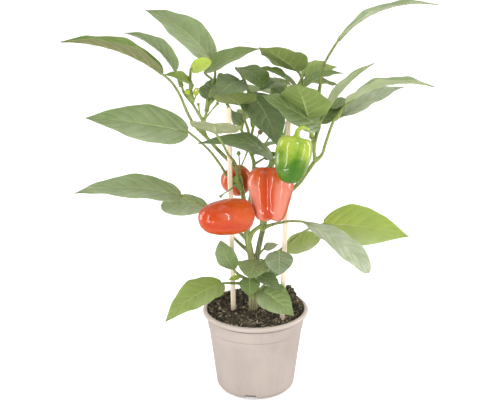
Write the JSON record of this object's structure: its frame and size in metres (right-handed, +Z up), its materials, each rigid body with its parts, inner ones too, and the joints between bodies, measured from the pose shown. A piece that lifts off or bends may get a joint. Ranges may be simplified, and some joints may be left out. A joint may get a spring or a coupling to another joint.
{
  "type": "potted sweet pepper plant",
  "caption": "Bushy sweet pepper plant in a round plastic nursery pot, held by split-wood canes, with blocky red and green fruits hanging among broad leaves.",
  "frame": {"origin": "middle of the pot's underside, on the surface that the pot stands on", "axes": "+Z up, the plant's show side towards -Y, +X to the right of the show side"},
  "size_m": [0.4217, 0.2643, 0.4818],
  "materials": {
    "pot_plastic": "satin injection-moulded plastic, pale taupe",
    "soil": "dark crumbly potting mix of peat and bark",
    "cane_wood": "raw split wood",
    "foliage": "living leaves and stems, waxy above and dull below",
    "fruit_red": "smooth glossy orange-red skin",
    "fruit_green": "smooth glossy lime-green skin"
  },
  "bodies": {
    "root": {"pot": "pot_plastic", "soil": "soil", "cane_left": "cane_wood", "cane_right": "cane_wood", "main_stem": "foliage", "left_stem": "foliage", "middle_stem": "foliage", "right_stem": "foliage", "back_stem": "foliage", "fruit_red_front": "fruit_red", "fruit_red_centre": "fruit_red", "fruit_red_back": "fruit_red", "fruit_green": "fruit_green"}
  },
  "joints": []
}
